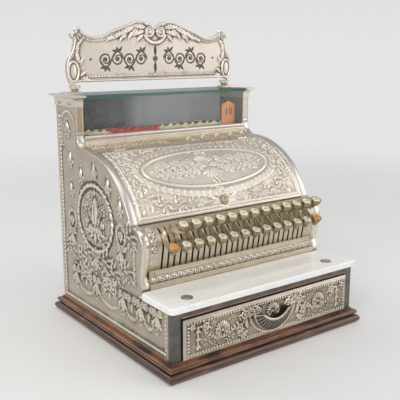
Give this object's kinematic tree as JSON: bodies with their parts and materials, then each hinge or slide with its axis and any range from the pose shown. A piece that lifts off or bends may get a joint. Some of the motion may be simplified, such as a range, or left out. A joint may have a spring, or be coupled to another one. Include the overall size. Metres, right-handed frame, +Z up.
{
  "type": "antique cash register",
  "caption": "Ornate plated cash register with round keys, curved lid, glazed tablet window, crest sign, marble shelf and sliding cash drawer on a moulded wooden base.",
  "frame": {"origin": "centre of the wooden base's bottom face", "axes": "+Z up, -Y towards the operator at the keys, +X to the operator's right"},
  "size_m": [0.462, 0.4417, 0.594],
  "materials": {
    "nickel": "nickel plate over cast metal, dark patina in the recesses",
    "walnut": "varnished dark walnut",
    "pale_wood": "oiled pale wood",
    "marble": "polished white marble, faint grey veins",
    "glass": "clear plate glass",
    "frame_paint": "dark blue-grey enamel",
    "steel": "bright machined steel",
    "tablet_enamel": "pale yellow enamel",
    "tablet_orange": "orange enamel",
    "brass": "polished brass",
    "counter_ivory": "ivory number wheels",
    "key_metal": "nickel plate, ivory key faces"
  },
  "bodies": {
    "case": {"wood_base": "walnut", "left_side_panel": "nickel", "right_side_panel": "nickel", "back_panel": "nickel", "capitals": "nickel", "window_sill": "nickel", "window_glass": "glass", "top_glass": "glass", "top_sign": "nickel", "sign_posts": "nickel", "keyboard_plate": "nickel", "key_moulding": "nickel", "marble_shelf": "marble", "shelf_rosettes": "nickel", "drawer_frame": "frame_paint", "drawer_runners": "pale_wood", "mechanism_deck": "steel", "cross_shafts": "steel", "tablet_guide": "steel", "tablet_bank": "tablet_enamel", "bell_gong": "brass", "hinge_pins": "nickel", "drawer_spring": "steel"},
    "drawer": {"drawer_front": "nickel", "drawer_box": "pale_wood", "drawer_dividers": "pale_wood", "drawer_pull": "nickel"},
    "lid": {"lid": "nickel"},
    "lock": {"lock_plug": "brass"},
    "raised_tablet": {"raised_tablet": "tablet_orange"},
    "bell_hammer": {"bell_hammer": "steel"},
    "drawer_latch": {"drawer_latch": "steel"},
    "counter_wheels": {"counter_wheels": "counter_ivory"},
    "key_01": {"key_01": "key_metal"},
    "key_02": {"key_02": "key_metal"},
    "key_03": {"key_03": "key_metal"},
    "key_04": {"key_04": "key_metal"},
    "key_05": {"key_05": "key_metal"},
    "key_06": {"key_06": "key_metal"},
    "key_07": {"key_07": "key_metal"},
    "key_08": {"key_08": "key_metal"},
    "key_09": {"key_09": "key_metal"},
    "key_10": {"key_10": "key_metal"},
    "key_11": {"key_11": "key_metal"},
    "key_12": {"key_12": "key_metal"},
    "key_13": {"key_13": "key_metal"},
    "key_14": {"key_14": "key_metal"},
    "key_15": {"key_15": "key_metal"},
    "key_16": {"key_16": "key_metal"},
    "key_17": {"key_17": "key_metal"},
    "key_18": {"key_18": "key_metal"},
    "key_19": {"key_19": "key_metal"},
    "key_20": {"key_20": "key_metal"},
    "key_21": {"key_21": "key_metal"},
    "key_22": {"key_22": "key_metal"},
    "key_23": {"key_23": "key_metal"},
    "key_24": {"key_24": "key_metal"},
    "key_25": {"key_25": "key_metal"},
    "key_26": {"key_26": "key_metal"},
    "key_27": {"key_27": "key_metal"}
  },
  "joints": [
    {"name": "drawer_slide", "type": "slide", "parent": "case", "child": "drawer", "axis": [0, -1, 0], "range_m": [0, 0.25]},
    {"name": "lid_hinge", "type": "hinge", "parent": "case", "child": "lid", "pos_m": [0, 0.06597, 0.34836], "axis": [-1, 0, 0], "range_deg": [0, 115]},
    {"name": "lock_turn", "type": "hinge", "parent": "lid", "child": "lock", "pos_m": [0, -0.067, 0.25493], "axis": [0, -0.8845, 0.4665], "range_deg": [0, 90]},
    {"name": "tablet_slide", "type": "slide", "parent": "case", "child": "raised_tablet", "axis": [0, 0, 1], "range_m": [-0.042, 0]},
    {"name": "hammer_swing", "type": "hinge", "parent": "case", "child": "bell_hammer", "pos_m": [-0.11, 0.0775, 0.1207], "axis": [-1, 0, 0], "range_deg": [0, 12], "stiffness_Nm_per_rad": 0.02, "springref_deg": -11.46},
    {"name": "latch_swing", "type": "hinge", "parent": "case", "child": "drawer_latch", "pos_m": [0.063, 0.15, 0.104], "axis": [1, 0, 0], "range_deg": [0, 17], "stiffness_Nm_per_rad": 0.05, "springref_deg": -17.19},
    {"name": "counter_turn", "type": "hinge", "parent": "case", "child": "counter_wheels", "pos_m": [0, 0.00011, 0.29205], "axis": [1, 0, 0], "continuous": true},
    {"name": "key_01_press", "type": "hinge", "parent": "case", "child": "key_01", "pos_m": [-0.1716, -0.03001, 0.212], "axis": [1, 0, 0], "range_deg": [0, 15], "stiffness_Nm_per_rad": 0.8, "springref_deg": -17.19},
    {"name": "key_02_press", "type": "hinge", "parent": "case", "child": "key_02", "pos_m": [-0.1584, -0.03001, 0.212], "axis": [1, 0, 0], "range_deg": [0, 15], "stiffness_Nm_per_rad": 0.8, "springref_deg": -17.19},
    {"name": "key_03_press", "type": "hinge", "parent": "case", "child": "key_03", "pos_m": [-0.1452, -0.03001, 0.212], "axis": [1, 0, 0], "range_deg": [0, 15], "stiffness_Nm_per_rad": 0.8, "springref_deg": -17.19},
    {"name": "key_04_press", "type": "hinge", "parent": "case", "child": "key_04", "pos_m": [-0.132, -0.03001, 0.212], "axis": [1, 0, 0], "range_deg": [0, 15], "stiffness_Nm_per_rad": 0.8, "springref_deg": -17.19},
    {"name": "key_05_press", "type": "hinge", "parent": "case", "child": "key_05", "pos_m": [-0.1188, -0.03001, 0.212], "axis": [1, 0, 0], "range_deg": [0, 15], "stiffness_Nm_per_rad": 0.8, "springref_deg": -17.19},
    {"name": "key_06_press", "type": "hinge", "parent": "case", "child": "key_06", "pos_m": [-0.1056, -0.03001, 0.212], "axis": [1, 0, 0], "range_deg": [0, 15], "stiffness_Nm_per_rad": 0.8, "springref_deg": -17.19},
    {"name": "key_07_press", "type": "hinge", "parent": "case", "child": "key_07", "pos_m": [-0.0924, -0.03001, 0.212], "axis": [1, 0, 0], "range_deg": [0, 15], "stiffness_Nm_per_rad": 0.8, "springref_deg": -17.19},
    {"name": "key_08_press", "type": "hinge", "parent": "case", "child": "key_08", "pos_m": [-0.0792, -0.03001, 0.212], "axis": [1, 0, 0], "range_deg": [0, 15], "stiffness_Nm_per_rad": 0.8, "springref_deg": -17.19},
    {"name": "key_09_press", "type": "hinge", "parent": "case", "child": "key_09", "pos_m": [-0.066, -0.03001, 0.212], "axis": [1, 0, 0], "range_deg": [0, 15], "stiffness_Nm_per_rad": 0.8, "springref_deg": -17.19},
    {"name": "key_10_press", "type": "hinge", "parent": "case", "child": "key_10", "pos_m": [-0.0528, -0.03001, 0.212], "axis": [1, 0, 0], "range_deg": [0, 15], "stiffness_Nm_per_rad": 0.8, "springref_deg": -17.19},
    {"name": "key_11_press", "type": "hinge", "parent": "case", "child": "key_11", "pos_m": [-0.0396, -0.03001, 0.212], "axis": [1, 0, 0], "range_deg": [0, 15], "stiffness_Nm_per_rad": 0.8, "springref_deg": -17.19},
    {"name": "key_12_press", "type": "hinge", "parent": "case", "child": "key_12", "pos_m": [-0.0264, -0.03001, 0.212], "axis": [1, 0, 0], "range_deg": [0, 15], "stiffness_Nm_per_rad": 0.8, "springref_deg": -17.19},
    {"name": "key_13_press", "type": "hinge", "parent": "case", "child": "key_13", "pos_m": [-0.0132, -0.03001, 0.212], "axis": [1, 0, 0], "range_deg": [0, 15], "stiffness_Nm_per_rad": 0.8, "springref_deg": -17.19},
    {"name": "key_14_press", "type": "hinge", "parent": "case", "child": "key_14", "pos_m": [0, -0.03001, 0.212], "axis": [1, 0, 0], "range_deg": [0, 15], "stiffness_Nm_per_rad": 0.8, "springref_deg": -17.19},
    {"name": "key_15_press", "type": "hinge", "parent": "case", "child": "key_15", "pos_m": [0.0132, -0.03001, 0.212], "axis": [1, 0, 0], "range_deg": [0, 15], "stiffness_Nm_per_rad": 0.8, "springref_deg": -17.19},
    {"name": "key_16_press", "type": "hinge", "parent": "case", "child": "key_16", "pos_m": [0.0264, -0.03001, 0.212], "axis": [1, 0, 0], "range_deg": [0, 15], "stiffness_Nm_per_rad": 0.8, "springref_deg": -17.19},
    {"name": "key_17_press", "type": "hinge", "parent": "case", "child": "key_17", "pos_m": [0.0396, -0.03001, 0.212], "axis": [1, 0, 0], "range_deg": [0, 15], "stiffness_Nm_per_rad": 0.8, "springref_deg": -17.19},
    {"name": "key_18_press", "type": "hinge", "parent": "case", "child": "key_18", "pos_m": [0.0528, -0.03001, 0.212], "axis": [1, 0, 0], "range_deg": [0, 15], "stiffness_Nm_per_rad": 0.8, "springref_deg": -17.19},
    {"name": "key_19_press", "type": "hinge", "parent": "case", "child": "key_19", "pos_m": [0.066, -0.03001, 0.212], "axis": [1, 0, 0], "range_deg": [0, 15], "stiffness_Nm_per_rad": 0.8, "springref_deg": -17.19},
    {"name": "key_20_press", "type": "hinge", "parent": "case", "child": "key_20", "pos_m": [0.0792, -0.03001, 0.212], "axis": [1, 0, 0], "range_deg": [0, 15], "stiffness_Nm_per_rad": 0.8, "springref_deg": -17.19},
    {"name": "key_21_press", "type": "hinge", "parent": "case", "child": "key_21", "pos_m": [0.0924, -0.03001, 0.212], "axis": [1, 0, 0], "range_deg": [0, 15], "stiffness_Nm_per_rad": 0.8, "springref_deg": -17.19},
    {"name": "key_22_press", "type": "hinge", "parent": "case", "child": "key_22", "pos_m": [0.1056, -0.03001, 0.212], "axis": [1, 0, 0], "range_deg": [0, 15], "stiffness_Nm_per_rad": 0.8, "springref_deg": -17.19},
    {"name": "key_23_press", "type": "hinge", "parent": "case", "child": "key_23", "pos_m": [0.1188, -0.03001, 0.212], "axis": [1, 0, 0], "range_deg": [0, 15], "stiffness_Nm_per_rad": 0.8, "springref_deg": -17.19},
    {"name": "key_24_press", "type": "hinge", "parent": "case", "child": "key_24", "pos_m": [0.132, -0.03001, 0.212], "axis": [1, 0, 0], "range_deg": [0, 15], "stiffness_Nm_per_rad": 0.8, "springref_deg": -17.19},
    {"name": "key_25_press", "type": "hinge", "parent": "case", "child": "key_25", "pos_m": [0.1452, -0.03001, 0.212], "axis": [1, 0, 0], "range_deg": [0, 15], "stiffness_Nm_per_rad": 0.8, "springref_deg": -17.19},
    {"name": "key_26_press", "type": "hinge", "parent": "case", "child": "key_26", "pos_m": [0.1584, -0.03001, 0.212], "axis": [1, 0, 0], "range_deg": [0, 15], "stiffness_Nm_per_rad": 0.8, "springref_deg": -17.19},
    {"name": "key_27_press", "type": "hinge", "parent": "case", "child": "key_27", "pos_m": [0.1716, -0.03001, 0.212], "axis": [1, 0, 0], "range_deg": [0, 15], "stiffness_Nm_per_rad": 0.8, "springref_deg": -17.19}
  ]
}
